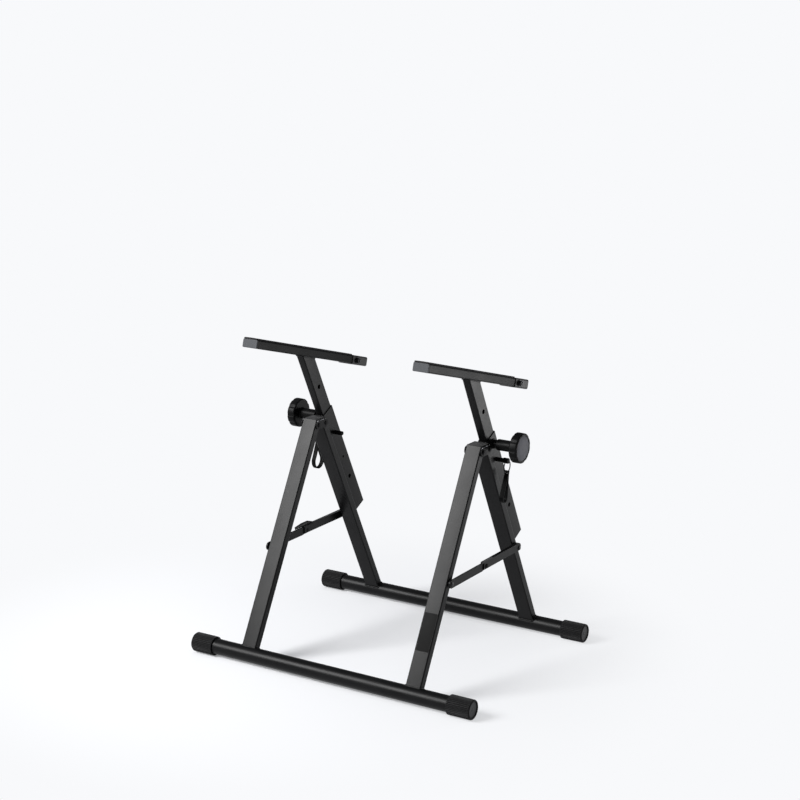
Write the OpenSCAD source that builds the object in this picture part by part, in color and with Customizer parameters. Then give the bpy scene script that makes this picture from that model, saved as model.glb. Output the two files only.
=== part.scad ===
// Folding tilt-back floor stand: two pivoted tube frames, a post and a tilted arm on each side.
// Millimetres. X runs to the right, Y to the rear and Z up. The origin is on the floor, mid-stand.

/* [Base] */
// Length of a base tube over its end caps
base_len = 580; // [460:2:700]
// Distance between the front and rear base tubes, centre to centre
base_depth = 422; // [350:2:510]
// Outer diameter of a base tube
base_tube_d = 28.6; // [24:0.1:33]
// Wall of every steel tube
tube_wall = 1.5; // [1.2:0.1:1.8]

/* [End caps] */
// Outer diameter of an end cap
cap_d = 35; // [34:0.5:42]
// Length of an end cap
cap_len = 45; // [36:1:56]
// Thickness of the closed end of a cap
cap_end = 8; // [6:0.5:12]
// Diameter of the recess in the closed end
cap_recess_d = 23; // [16:1:26]
// Depth of that recess
cap_recess = 3.5; // [1:0.5:5]
// Number of grip grooves round a cap
cap_grooves = 36; // [12:2:40]

/* [Side frames] */
// Distance between the left and right side frames, centre to centre
frame_spacing = 344; // [280:2:412]
// Lean of a leg from upright, in degrees
leg_lean = 27.5; // [24:0.5:31]
// Side-to-side width of a leg and of an arm
leg_w = 30; // [25:1:36]
// Thickness of a leg and of an arm
leg_t = 15; // [12.5:0.5:18]
// Drop from where the leg centre lines meet to the cut tops of the legs
leg_top_drop = 11.8; // [9:0.2:14]
// Drop from where the leg centre lines meet to the hinge
hinge_drop = 21.8; // [21:0.2:26]
// Thickness of a plug in the top of a leg
leg_plug_t = 5; // [3:0.5:6]

/* [Hinge] */
// Height of a hinge plate
plate_h = 16; // [13.5:0.5:19]
// Thickness of a hinge plate
plate_t = 1.6; // [1.3:0.1:2]
// Shank diameter of the hinge rivets
hinge_pin_d = 5; // [4.2:0.1:6]
// Head diameter of the hinge rivets
hinge_head_d = 8; // [7:0.5:10]
// Head height of the hinge rivets
hinge_head_t = 1.4; // [1.1:0.1:1.7]

/* [Post and sleeve] */
// Side-to-side width of a post
post_w = 15; // [12.5:0.5:18]
// Front-to-rear depth of a post
post_d = 30; // [25:1:36]
// Gap between a post and its sleeve, all round
post_gap = 0.25; // [0.15:0.05:0.4]
// Length of a sleeve
sleeve_len = 236.5; // [200:0.5:280]
// Drop along the leg from where the leg centre lines meet to the sleeve's mouth
sleeve_drop = 17; // [14:0.5:24]
// Length of post that stands out of the sleeve, on its centre line
post_out = 126; // [110:1:150]
// Length of post inside the sleeve
post_in = 188; // [184:1:222]
// Travel of a post up from the photographed height
post_travel = 108.5; // [90:0.1:112]
// Distance from the sleeve's mouth down to the clamp screw
clamp_drop = 16; // [13.5:0.5:19]
// Distance from the clamp screw down to the safety pin
pin_drop = 36; // [33:0.1:43]
// Distance from the safety pin down to the sleeve's spare pin hole
spare_drop = 108.5; // [90:0.1:125]
// Distance from the safety pin down to the sleeve's small hole
small_hole_drop = 60; // [50:0.1:72]
// Diameter of the small hole
small_hole_d = 4.5; // [3:0.1:6]

/* [Arms] */
// Length of an arm over its plug and cover
arm_len = 362; // [300:1:434]
// Tilt of an arm down to the rear, in degrees
arm_tilt = 15; // [12.5:0.5:18]
// Distance that the middle of the arm lies behind the post
arm_shift = 4; // [0:1:10]
// Thickness of the flange of the front plug
plug_flange = 3; // [2:0.5:4]
// Depth of a plug inside its tube
plug_depth = 12; // [8:1:20]
// Width of the rubber pad
pad_w = 28; // [20:1:30]
// Thickness of the rubber pad
pad_t = 3; // [2:0.1:4]
// Length of the rear end cover
cover_len = 50; // [42:1:60]
// Wall of the rear end cover
cover_wall = 1.2; // [1:0.1:1.6]
// Thickness of the closed end of the cover
cover_end = 3; // [2:0.5:4]
// Distance of the arm bolt from the arm's rear end
bolt_inset = 35; // [29:1:40]
// Shank diameter of the arm bolt
bolt_d = 6; // [5:0.5:7]
// Width across flats of its nut
nut_flats = 10; // [9:0.5:12]
// Height of its nut
nut_t = 6; // [4:0.5:7]

/* [Brace] */
// Height of the brace pivots above the base tube centres
brace_rise = 175; // [150:1:200]
// Distance of the middle pivot behind the middle of the stand
brace_mid = -2; // [-10:0.5:10]
// Sheet thickness of the rear link's channel
channel_t = 1.9; // [1.6:0.1:2.2]
// Height of that channel
channel_h = 14; // [13:0.5:17]
// Height of the channel's web underside above the middle pivot
channel_rise = 7; // [6:0.1:8]
// Length of the web past the middle pivot
channel_nose = 9; // [8:0.5:11]
// Thickness of the front link's bar
bar_t = 3.2; // [2.7:0.1:3.8]
// Height of the front link's bar
bar_h = 15; // [13:0.5:18]
// Length of the finger lip behind the channel's front end, without its sloping end
lip_back = 20; // [16:1:24]
// Rise of the finger lip above the channel
lip_rise = 5; // [4:0.2:6]
// Reach of the finger lip past the channel's outer side
lip_reach = 1.8; // [1:0.1:2]
// Distance that the left and right finger lips stand out past the channel's front end
lip_front = [22, 10];
// Shank diameter of the brace rivets
brace_pin_d = 6; // [5:0.1:7]
// Head diameter of the brace rivets
brace_head_d = 8.5; // [8:0.5:10]
// Head height of the brace rivets
brace_head_t = 1.8; // [1.5:0.1:2.1]

/* [Clamp] */
// Diameter of the clamp screw
stud_d = 8; // [6.7:0.1:9]
// Diameter of the clamp nut
clamp_nut_d = 16; // [14:0.5:19]
// Height of the clamp nut
clamp_nut_t = 8; // [6:0.5:10]
// Diameter of the knob's head
knob_d = 54; // [46:1:58]
// Thickness of the knob's head
knob_t = 16; // [13:0.5:19]
// Diameter of the knob's neck
neck_d = 20; // [16:0.5:24]
// Length of the knob's neck
neck_len = 34; // [28:1:40]
// Gap between the clamp nut and the knob's neck
neck_gap = 2.5; // [1:0.1:4]
// Number of grip flutes round the knob
knob_flutes = 10; // [6:1:14]
// Depth of a grip flute
flute_depth = 1.1; // [0.5:0.1:2]

/* [Safety pin] */
// Diameter of the safety pin
pin_d = 7.8; // [6.5:0.1:9.4]
// Length of the pin past the sleeve's inner side
pin_tip = 17; // [14:1:21]
// Distance from the sleeve's outer side to the pin's head
pin_neck = 13.4; // [13:0.1:15]
// Diameter of the pin's head
pin_head_d = 10; // [9.5:0.1:12]
// Length of the pin's head
pin_head_len = 10; // [8:0.5:12]
// Diameter of the ring, on its wire's centre line
ring_d = 22; // [19:0.5:26]
// Diameter of the ring's wire
ring_wire = 2; // [1.7:0.1:2.3]
// Thickness of the strap
strap_t = 2; // [1.6:0.1:2.4]
// Width of the strap
strap_w = 8; // [6.5:0.5:8.5]
// Length of the strap loop below the ring
strap_len = 54; // [45:1:62]
// Bend radius of the left and right strap loops, outside
strap_bend = [15, 9];
// Lean of the left and right strap loops to the front, in degrees
strap_lean = [0, 14];

/* [Fits] */
// Running clearance round a pin or screw in its hole
run_gap = 0.1; // [0.05:0.01:0.1]
// Side clearance between moving parts
side_gap = 0.3; // [0.25:0.05:0.4]
// Clearance round a piece fixed in or on a tube
seat_gap = 0.05; // [0.02:0.01:0.1]

/* [Hidden] */
$fn = 48;
eps = 1;
reach = 1000;
groove_d = 2;
groove_depth = 0.7;
tube_corner = 2;
cap_round = 4;
knob_round = 3;
ring_play = 0.5;

leg_x = frame_spacing / 2;
tube_y = base_depth / 2;
tube_z = cap_d / 2;
apex_z = tube_z + tube_y / tan(leg_lean);
apex_s = tube_y / sin(leg_lean);
leg_top_z = apex_z - leg_top_drop;
hinge_z = apex_z - hinge_drop;
hinge_y = hinge_drop * tan(leg_lean);
plate_in = leg_w / 2 + side_gap;
plate_out = plate_in + plate_t;

post_off = leg_t / 2 + tube_wall + post_gap + post_d / 2;
sleeve_w = post_w + 2 * (post_gap + tube_wall);
sleeve_d = post_d + 2 * (post_gap + tube_wall);
sleeve_top = apex_s - sleeve_drop;
clamp_s = sleeve_top - clamp_drop;
pin_s = clamp_s - pin_drop;
arm_s = sleeve_top + post_out;
post_hole_d = pin_d + 2 * side_gap;

arm_y = tube_y - arm_s * sin(leg_lean) + post_off * cos(leg_lean);
arm_z = tube_z + arm_s * cos(leg_lean) + post_off * sin(leg_lean);
arm_front = arm_shift - arm_len / 2;
arm_rear = arm_shift + arm_len / 2;
cover_out = seat_gap + cover_wall;
bolt_y = arm_rear - bolt_inset;

brace_z = tube_z + brace_rise;
brace_y = (apex_z - brace_z) * tan(leg_lean);
channel_in = leg_w / 2 + side_gap + 0.2;
bar_in = channel_in + channel_t + side_gap;
bar_out = bar_in + bar_t;
channel_out = bar_out + side_gap + channel_t;
mid_end_r = channel_rise - side_gap;

stud_in = post_w / 2 + side_gap;
nut_out = sleeve_w / 2 + clamp_nut_t;
neck_in = nut_out + neck_gap;
knob_back = neck_in + neck_len;
knob_face = knob_back + knob_t;
stud_out = neck_in + neck_len * 0.8;

head_in = sleeve_w / 2 + pin_neck;
head_out = head_in + pin_head_len;
pin_in = sleeve_w / 2 + pin_tip;
ring_x = head_out - 3;
ring_hole_d = ring_wire + 1.4;
strap_hole_d = ring_wire + 1.6;
ring_low = ring_d - ring_play;

// ---- places ----

// Local Z runs up the rear leg from the base tube's axis, and local Y to its rear.
module on_rear_leg(side) {
    translate([side * leg_x, tube_y, tube_z]) rotate([leg_lean, 0, 0]) children();
}

// Local Z runs up the front leg from the base tube's axis, and local Y to its rear.
module on_front_leg(side) {
    translate([side * leg_x, -tube_y, tube_z]) rotate([-leg_lean, 0, 0]) children();
}

// Local Y runs back along the arm, and Z = 0 is its underside.
module on_arm(side) {
    translate([side * leg_x, arm_y, arm_z]) rotate([-arm_tilt, 0, 0]) children();
}

// Local X runs outwards from a side frame's middle plane.
module outboard(side) {
    if (side < 0) mirror([1, 0, 0]) children();
    else children();
}

// A round bar along X between two distances, at height y, z of the local frame.
module bar_x(from, to, d, y = 0, z = 0) {
    translate([from, y, z]) rotate([0, 90, 0]) cylinder(h = to - from, d = d);
}

// ---- sections ----

module rounded(w, d, r) {
    square([w - 2 * r, d], center = true);
    square([w, d - 2 * r], center = true);
    for (x = [-1, 1], y = [-1, 1])
        translate([x * (w / 2 - r), y * (d / 2 - r)]) circle(r = r);
}

module tube_section(w, d) {
    difference() {
        rounded(w, d, tube_corner);
        rounded(w - 2 * tube_wall, d - 2 * tube_wall, tube_corner - tube_wall / 2);
    }
}

module tube_core(w, d) {
    inset = 2 * (tube_wall + seat_gap);
    rounded(w - inset, d - inset, tube_corner - tube_wall / 2);
}

// ---- base ----

module base_tube(end) {
    tube_len = base_len - 2 * cap_end;
    color("#1c1c1e") translate([0, end * tube_y, tube_z]) rotate([0, 90, 0])
        difference() {
            cylinder(h = tube_len, d = base_tube_d, center = true);
            cylinder(h = tube_len + eps, d = base_tube_d - 2 * tube_wall, center = true);
        }
}

module base_cap(end, side) {
    color("#141415") translate([0, end * tube_y, tube_z]) rotate([0, side * 90, 0])
        translate([0, 0, base_len / 2 - cap_len]) difference() {
            rotate_extrude() {
                square([cap_d / 2 - cap_round, cap_len]);
                square([cap_d / 2, cap_len - cap_round]);
                translate([cap_d / 2 - cap_round, cap_len - cap_round]) circle(r = cap_round);
            }
            translate([0, 0, -eps])
                cylinder(h = cap_len - cap_end + eps, d = base_tube_d + 2 * seat_gap);
            translate([0, 0, cap_len - cap_recess])
                cylinder(h = cap_recess + eps, d = cap_recess_d);
            for (i = [0 : cap_grooves - 1]) rotate(360 * (i + 0.5) / cap_grooves)
                translate([cap_d / 2 + groove_d / 2 - groove_depth, 0, -eps])
                    cylinder(h = cap_len - cap_round, d = groove_d, $fn = 16);
        }
}

// The saddle that a leg's foot is cut to, where it is welded on the base tube
module saddle(end) {
    translate([0, end * tube_y, tube_z]) rotate([0, 90, 0])
        cylinder(h = reach, d = base_tube_d + 2 * seat_gap, center = true);
}

// ---- legs ----

module above_legs() {
    translate([-reach, -reach, leg_top_z]) cube([2 * reach, 2 * reach, reach]);
}

// The rear leg's top is cut back along the rear face of the front leg.
module front_leg_room(side) {
    on_front_leg(side) translate([-leg_w, -leg_w, 0])
        cube([2 * leg_w, leg_w + leg_t / 2 + eps, 2 * apex_s]);
}

module front_leg(side) {
    color("#262628") difference() {
        on_front_leg(side) linear_extrude(apex_s) tube_section(leg_w, leg_t);
        saddle(-1);
        above_legs();
        translate([side * leg_x, 0, 0])
            bar_x(-leg_w, leg_w, hinge_pin_d + 2 * run_gap, -hinge_y, hinge_z);
    }
}

module rear_leg(side) {
    color("#1c1c1e") difference() {
        on_rear_leg(side) linear_extrude(apex_s) tube_section(leg_w, leg_t);
        saddle(1);
        above_legs();
        front_leg_room(side);
        translate([side * leg_x, 0, 0]) {
            bar_x(-leg_w, leg_w, hinge_pin_d + 2 * seat_gap, hinge_y, hinge_z);
            outboard(side) bar_x(0, leg_w, brace_pin_d + 2 * seat_gap, brace_y, brace_z);
        }
    }
}

module plug_slab() {
    translate([-reach, -reach, leg_top_z - leg_plug_t]) cube([2 * reach, 2 * reach, leg_plug_t]);
}

module front_leg_plugs() {
    color("#141415") for (side = [-1, 1]) intersection() {
        on_front_leg(side) linear_extrude(apex_s) tube_core(leg_w, leg_t);
        plug_slab();
    }
}

module rear_leg_plugs() {
    color("#141415") for (side = [-1, 1]) difference() {
        intersection() {
            on_rear_leg(side) linear_extrude(apex_s) tube_core(leg_w, leg_t);
            plug_slab();
        }
        front_leg_room(side);
    }
}

// ---- hinge ----

module hinge_plates(side) {
    color("#2c2c2e") translate([side * leg_x, 0, 0]) for (way = [-1, 1]) outboard(way)
        difference() {
            union() {
                for (y = [-hinge_y, hinge_y]) bar_x(plate_in, plate_out, plate_h, y, hinge_z);
                translate([plate_in, -hinge_y, hinge_z - plate_h / 2])
                    cube([plate_t, 2 * hinge_y, plate_h]);
            }
            for (y = [-hinge_y, hinge_y])
                bar_x(0, leg_w, hinge_pin_d + 2 * seat_gap, y, hinge_z);
        }
}

module hinge_rivet_pair(y) {
    color("#3a3a3c") for (side = [-1, 1]) translate([side * leg_x, 0, 0]) {
        bar_x(-plate_out, plate_out, hinge_pin_d, y, hinge_z);
        for (way = [-1, 1]) outboard(way)
            bar_x(plate_out, plate_out + hinge_head_t, hinge_head_d, y, hinge_z);
    }
}

module hinge_pivots() { hinge_rivet_pair(-hinge_y); }

module hinge_rivets() { hinge_rivet_pair(hinge_y); }

// ---- sleeve and post ----

module sleeve(side) {
    color("#1c1c1e") on_rear_leg(side) difference() {
        translate([0, post_off, sleeve_top - sleeve_len]) linear_extrude(sleeve_len)
            tube_section(sleeve_w, sleeve_d);
        bar_x(-sleeve_w, sleeve_w, pin_d + 2 * run_gap, post_off, pin_s);
        bar_x(-sleeve_w, sleeve_w, pin_d + 2 * run_gap, post_off, pin_s - spare_drop);
        outboard(side) {
            bar_x(0, sleeve_w, stud_d + 2 * run_gap, post_off, clamp_s);
            bar_x(-sleeve_w, 0, small_hole_d, post_off, pin_s - small_hole_drop);
        }
    }
}

module post(side) {
    color("#1f1f21") difference() {
        on_rear_leg(side) difference() {
            translate([0, post_off, sleeve_top - post_in])
                linear_extrude(post_in + post_out + post_d) tube_section(post_w, post_d);
            for (s = [pin_s, pin_s - post_travel, pin_s + post_travel])
                bar_x(-post_w, post_w, post_hole_d, post_off, s);
            translate([-post_w, post_off - post_hole_d / 2, pin_s - post_travel])
                cube([2 * post_w, post_hole_d, post_travel]);
        }
        on_arm(side) translate([-reach, -reach, 0]) cube([2 * reach, 2 * reach, reach]);
    }
}

module post_plug(side) {
    color("#141415") on_rear_leg(side) translate([0, post_off, sleeve_top - post_in])
        linear_extrude(plug_depth) tube_core(post_w, post_d);
}

// ---- arm ----

module arm_extrude(from, to) {
    translate([0, from, leg_t / 2]) rotate([-90, 0, 0]) linear_extrude(to - from) children();
}

module arm(side) {
    color("#1f1f21") on_arm(side) difference() {
        arm_extrude(arm_front + plug_flange, arm_rear - cover_end - seat_gap)
            tube_section(leg_w, leg_t);
        bar_x(-leg_w, leg_w, bolt_d + 2 * seat_gap, bolt_y, leg_t / 2);
    }
}

module arm_plug(side) {
    color("#3c3c3e") on_arm(side) {
        arm_extrude(arm_front, arm_front + plug_flange) rounded(leg_w, leg_t, tube_corner);
        arm_extrude(arm_front + plug_flange, arm_front + plug_flange + plug_depth)
            tube_core(leg_w, leg_t);
    }
}

module arm_cover(side) {
    color("#18181a") on_arm(side) difference() {
        arm_extrude(arm_rear - cover_len, arm_rear)
            rounded(leg_w + 2 * cover_out, leg_t + 2 * cover_out, tube_corner + cover_out);
        arm_extrude(arm_rear - cover_len - eps, arm_rear - cover_end)
            rounded(leg_w + 2 * seat_gap, leg_t + 2 * seat_gap, tube_corner);
        bar_x(-leg_w, leg_w, bolt_d + 2 * seat_gap, bolt_y, leg_t / 2);
    }
}

module arm_pad(side) {
    pad_len = arm_len - cover_len - 1;
    color("#101011") on_arm(side) translate([0, arm_front + pad_len / 2, leg_t])
        linear_extrude(pad_t) rounded(pad_w, pad_len, tube_corner);
}

// The bolt's head is on the left of each arm and its nut on the right.
module arm_bolt(side) {
    face = leg_w / 2 + cover_out;
    color("#101011") on_arm(side) {
        bar_x(-face, face + nut_t + 1, bolt_d, bolt_y, leg_t / 2);
        bar_x(-face - nut_t / 2, -face, nut_flats, bolt_y, leg_t / 2);
        difference() {
            bar_x(face, face + nut_t, nut_flats / cos(30), bolt_y, leg_t / 2, $fn = 6);
            bar_x(face - eps, face + nut_t + eps, bolt_d + 2 * seat_gap, bolt_y, leg_t / 2);
        }
    }
}

// ---- brace ----

module brace_space(side) {
    translate([side * leg_x, 0, brace_z]) outboard(side) children();
}

// The upturned finger lip by the middle pivot, cut to a steep slope at its rear end and a long
// one towards its front end
module brace_lip(side) {
    lip_out = lip_front[side < 0 ? 0 : 1];
    lip_len = lip_out + lip_back;
    front = brace_mid - channel_nose - lip_out;
    difference() {
        translate([channel_out, front, channel_rise + channel_t]) rotate([90, 0, 0])
            mirror([0, 0, 1]) linear_extrude(lip_len + 3 * lip_rise)
                polygon([[-channel_t, -channel_t], [0, -channel_t], [0, 0],
                    [lip_reach, lip_rise], [lip_reach - channel_t, lip_rise], [-channel_t, 0]]);
        translate([0, front + lip_len, channel_rise + channel_t + lip_rise])
            rotate([-atan(1 / 3), 0, 0]) cube([2 * channel_out, 2 * lip_len, 2 * lip_rise]);
        translate([0, front + lip_out, channel_rise + channel_t + lip_rise])
            rotate([atan(1 / 9), 0, 0]) translate([0, -2 * lip_len, 0])
                cube([2 * channel_out, 2 * lip_len, 2 * lip_rise]);
    }
}

module brace_rear_link(side) {
    low = channel_rise + channel_t - channel_h;
    color("#232325") brace_space(side) difference() {
        union() {
            translate([channel_in, brace_mid - channel_nose, low])
                cube([channel_out - channel_in, brace_y - brace_mid + channel_nose, channel_h]);
            bar_x(channel_in, channel_out, channel_h, brace_y, low + channel_h / 2);
            brace_lip(side);
        }
        translate([channel_in + channel_t, brace_mid - channel_nose - eps, low - eps])
            cube([bar_t + 2 * side_gap, 2 * reach, channel_h - channel_t + eps]);
        bar_x(0, leg_w, brace_pin_d + 2 * seat_gap, brace_mid);
        bar_x(0, leg_w, brace_pin_d + 2 * run_gap, brace_y);
    }
}

module brace_mid_rivet(side) {
    color("#3a3a3c") brace_space(side) {
        bar_x(channel_in, channel_out, brace_pin_d, brace_mid);
        bar_x(channel_out, channel_out + brace_head_t, brace_head_d, brace_mid);
    }
}

module brace_front_link(side) {
    shoulder = brace_mid - channel_nose - 0.5;
    color("#232325") brace_space(side) difference() {
        union() {
            bar_x(bar_in, bar_out, bar_h, -brace_y);
            translate([bar_in, -brace_y, -bar_h / 2])
                cube([bar_t, shoulder + brace_y, bar_h]);
            translate([bar_in, shoulder, -mid_end_r])
                cube([bar_t, brace_mid - shoulder, 2 * mid_end_r]);
            bar_x(bar_in, bar_out, 2 * mid_end_r, brace_mid);
        }
        bar_x(0, leg_w, brace_pin_d + 2 * run_gap, brace_mid);
        bar_x(0, leg_w, brace_pin_d + 2 * seat_gap, -brace_y);
    }
}

// The front rivet and its washer stay just clear of the leg.
module brace_front_rivet(side) {
    color("#3a3a3c") brace_space(side) {
        bar_x(plate_in, bar_out, brace_pin_d, -brace_y);
        bar_x(bar_out, bar_out + brace_head_t, brace_head_d, -brace_y);
        difference() {
            bar_x(plate_in, bar_in, brace_head_d, -brace_y);
            bar_x(0, leg_w, brace_pin_d + 2 * seat_gap, -brace_y);
        }
    }
}

module brace_rear_rivets() {
    head = channel_out + side_gap;
    color("#3a3a3c") for (side = [-1, 1]) brace_space(side) {
        bar_x(leg_w / 2 - 2 * tube_wall, head, brace_pin_d, brace_y);
        bar_x(head, head + brace_head_t, brace_head_d, brace_y);
    }
}

// ---- clamp ----

module clamp_space(side) {
    on_rear_leg(side) translate([0, post_off, clamp_s]) outboard(side) children();
}

module clamp_nuts() {
    color("#2c2c2e") for (side = [-1, 1]) clamp_space(side) difference() {
        bar_x(sleeve_w / 2, nut_out, clamp_nut_d);
        bar_x(0, knob_back, stud_d + 2 * run_gap);
    }
}

module clamp_stud(side) {
    color("#8c8c90") clamp_space(side) bar_x(stud_in, stud_out, stud_d);
}

module clamp_knob(side) {
    flute_r = 8;
    color("#1a1a1b") clamp_space(side) rotate([0, 90, 0]) difference() {
        rotate_extrude() {
            translate([0, neck_in]) square([neck_d / 2, neck_len + eps]);
            translate([0, knob_back]) square([knob_d / 2 - knob_round, knob_t]);
            translate([0, knob_back + knob_round])
                square([knob_d / 2, knob_t - 2 * knob_round]);
            for (z = [knob_back + knob_round, knob_face - knob_round])
                translate([knob_d / 2 - knob_round, z]) circle(r = knob_round);
        }
        for (i = [0 : knob_flutes - 1]) rotate(360 * i / knob_flutes)
            translate([knob_d / 2 + flute_r - flute_depth, 0, knob_back - eps])
                cylinder(h = knob_t + 2 * eps, r = flute_r);
        cylinder(h = stud_out + side_gap, d = stud_d + 2 * run_gap);
    }
}

// ---- safety pin ----

module pin_space(side) {
    on_rear_leg(side) translate([0, post_off, pin_s]) outboard(side) rotate([-leg_lean, 0, 0])
        children();
}

module safety_pin(side) {
    color("#141415") pin_space(side) difference() {
        union() {
            bar_x(-pin_in, head_in, pin_d);
            bar_x(head_in, head_out, pin_head_d);
        }
        translate([ring_x, pin_head_d, 0]) rotate([90, 0, 0])
            cylinder(h = 2 * pin_head_d, d = ring_hole_d);
    }
}

// The ring hangs from the hole in the pin's head.
module pin_ring(side) {
    color("#2a2a2c") pin_space(side) translate([ring_x, 0, ring_d / 2 - ring_low])
        rotate([0, 90, 0]) rotate_extrude() translate([ring_d / 2, 0])
            circle(d = ring_wire, $fn = 16);
}

// Outline of the strap loop: a round bend below and two straight runs up to the neck.
module strap_outline(r, top, half_neck) {
    tangent = 10;
    circle(r = r);
    polygon([[-half_neck, top], [half_neck, top], [r * cos(tangent), r * sin(tangent)],
        [-r * cos(tangent), r * sin(tangent)]]);
}

// The strap is folded into a loop, and the ring passes through both thicknesses at its neck.
module pin_strap(side) {
    i = side < 0 ? 0 : 1;
    r = strap_bend[i];
    drop = strap_len - r;
    color("#0f0f10") pin_space(side) translate([ring_x, 0, -ring_low])
        rotate([-strap_lean[i], 0, 0]) rotate([90, 0, 90]) translate([0, 0, -strap_w / 2])
            difference() {
                union() {
                    translate([0, -drop]) linear_extrude(strap_w)
                        strap_outline(r, drop - strap_w / 2, strap_t);
                    translate([-strap_t, -strap_w / 2]) cube([2 * strap_t, strap_w, strap_w]);
                }
                translate([0, -drop, -eps]) linear_extrude(strap_w + 2 * eps)
                    strap_outline(r - strap_t, drop - strap_w, 0.1);
                translate([0, 0, strap_w / 2]) rotate([0, 90, 0])
                    cylinder(h = 4 * strap_t, d = strap_hole_d, center = true);
            }
}

base_tube(1);  // rear_base_tube
base_cap(1, -1);  // rear_cap_left
base_cap(1, 1);  // rear_cap_right
rear_leg(-1);  // rear_leg_left
rear_leg(1);  // rear_leg_right
rear_leg_plugs();
sleeve(-1);  // sleeve_left
sleeve(1);  // sleeve_right
hinge_plates(-1);  // hinge_plates_left
hinge_plates(1);  // hinge_plates_right
hinge_pivots();
hinge_rivets();
clamp_nuts();
brace_rear_rivets();
base_tube(-1);  // front_base_tube
base_cap(-1, -1);  // front_cap_left
base_cap(-1, 1);  // front_cap_right
front_leg(-1);  // front_leg_left
front_leg(1);  // front_leg_right
front_leg_plugs();
brace_rear_link(-1);  // brace_rear_link_left
brace_rear_link(1);  // brace_rear_link_right
brace_mid_rivet(-1);  // brace_mid_rivet_left
brace_mid_rivet(1);  // brace_mid_rivet_right
brace_front_link(-1);  // brace_front_link_left
brace_front_link(1);  // brace_front_link_right
brace_front_rivet(-1);  // brace_front_rivet_left
brace_front_rivet(1);  // brace_front_rivet_right
post(-1);  // post_left
post(1);  // post_right
post_plug(-1);  // post_plug_left
post_plug(1);  // post_plug_right
arm(-1);  // arm_left
arm(1);  // arm_right
arm_pad(-1);  // arm_pad_left
arm_pad(1);  // arm_pad_right
arm_plug(-1);  // arm_plug_left
arm_plug(1);  // arm_plug_right
arm_cover(-1);  // arm_cover_left
arm_cover(1);  // arm_cover_right
arm_bolt(-1);  // arm_bolt_left
arm_bolt(1);  // arm_bolt_right
clamp_stud(-1);  // clamp_stud_left
clamp_stud(1);  // clamp_stud_right
clamp_knob(-1);  // clamp_knob_left
clamp_knob(1);  // clamp_knob_right
safety_pin(-1);  // safety_pin_left
safety_pin(1);  // safety_pin_right
pin_ring(-1);  // pin_ring_left
pin_ring(1);  // pin_ring_right
pin_strap(-1);  // pin_strap_left
pin_strap(1);  // pin_strap_right
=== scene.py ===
import math

import bmesh
import bpy
from mathutils import Matrix, Vector


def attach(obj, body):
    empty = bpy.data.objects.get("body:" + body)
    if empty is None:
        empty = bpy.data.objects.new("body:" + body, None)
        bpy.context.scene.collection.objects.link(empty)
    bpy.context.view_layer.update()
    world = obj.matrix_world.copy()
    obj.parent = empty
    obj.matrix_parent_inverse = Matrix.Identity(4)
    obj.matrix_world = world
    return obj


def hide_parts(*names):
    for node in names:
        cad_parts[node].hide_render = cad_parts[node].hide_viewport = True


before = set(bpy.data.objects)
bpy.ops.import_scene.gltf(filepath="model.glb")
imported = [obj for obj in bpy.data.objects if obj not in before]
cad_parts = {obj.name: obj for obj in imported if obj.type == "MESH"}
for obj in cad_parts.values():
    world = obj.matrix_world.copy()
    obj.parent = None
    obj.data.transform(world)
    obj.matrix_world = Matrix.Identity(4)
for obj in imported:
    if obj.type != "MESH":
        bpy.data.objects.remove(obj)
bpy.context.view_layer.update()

# ---- Camera ----
# The stand is seen from its front right and from above, through a long lens, so that both side
# frames show and the far legs look only a little smaller than the near ones.
CAMERA_PLACE = (1.6406, -2.6536, 1.2152)
CAMERA_SWING, CAMERA_DIP, CAMERA_ROLL = 31.545, 13.487, 0.509

camera = bpy.data.objects.new("camera", bpy.data.cameras.new("camera"))
bpy.context.scene.collection.objects.link(camera)
camera.data.sensor_width = 36
camera.data.lens = 80.987
camera.data.clip_end = 60
camera.matrix_world = (
    Matrix.Translation(CAMERA_PLACE)
    @ Matrix.Rotation(math.radians(CAMERA_SWING), 4, "Z")
    @ Matrix.Rotation(math.radians(90 - CAMERA_DIP), 4, "X")
    @ Matrix.Rotation(math.radians(CAMERA_ROLL), 4, "Z")
)
bpy.context.scene.camera = camera

# ---- Base tubes ----
# Two round steel tubes run across, one in front and one behind, held just off the floor by their end
# caps. After welding, the whole frame gets one satin near-black powder coat, slightly pebbled.
ROWS = (("front", -1), ("rear", 1))
TUBE_RADIUS, TUBE_WALL = 14.3, 1.5
TUBE_REACH = 272
TUBE_Y = 211
TUBE_HEIGHT = 17.5
COAT_DARK, COAT_PALE = (0.0022, 0.0022, 0.0024), (0.0042, 0.0042, 0.0045)
CREASE_ANGLE, ROUNDED_ANGLE = 32, 35


def wire(tree, kind, sockets, **settings):
    """Adds a shader node, sets it up, and feeds its sockets from other nodes or plain values."""
    node = tree.nodes.new(kind)
    for key, value in settings.items():
        setattr(node, key, value)
    for socket, value in sockets.items():
        if isinstance(value, bpy.types.NodeSocket):
            tree.links.new(value, node.inputs[socket])
        else:
            node.inputs[socket].default_value = value
    return node


def maths(tree, operation, first, second):
    return wire(tree, "ShaderNodeMath", {0: first, 1: second}, operation=operation).outputs[0]


def grain(tree, where, scale, detail=2.0, roughness=0.5):
    """Cloudy variation; scale is roughly how many blotches there are in a metre."""
    return wire(tree, "ShaderNodeTexNoise", {
        "Vector": where, "Scale": scale, "Detail": detail, "Roughness": roughness}).outputs["Fac"]


def span(tree, value, low, high, to_low=0.0, to_high=1.0):
    """A value from low to high, stretched to run from to_low to to_high and held at both ends."""
    return wire(tree, "ShaderNodeMapRange", {
        "Value": value, "From Min": low, "From Max": high, "To Min": to_low, "To Max": to_high,
    }).outputs["Result"]


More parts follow.
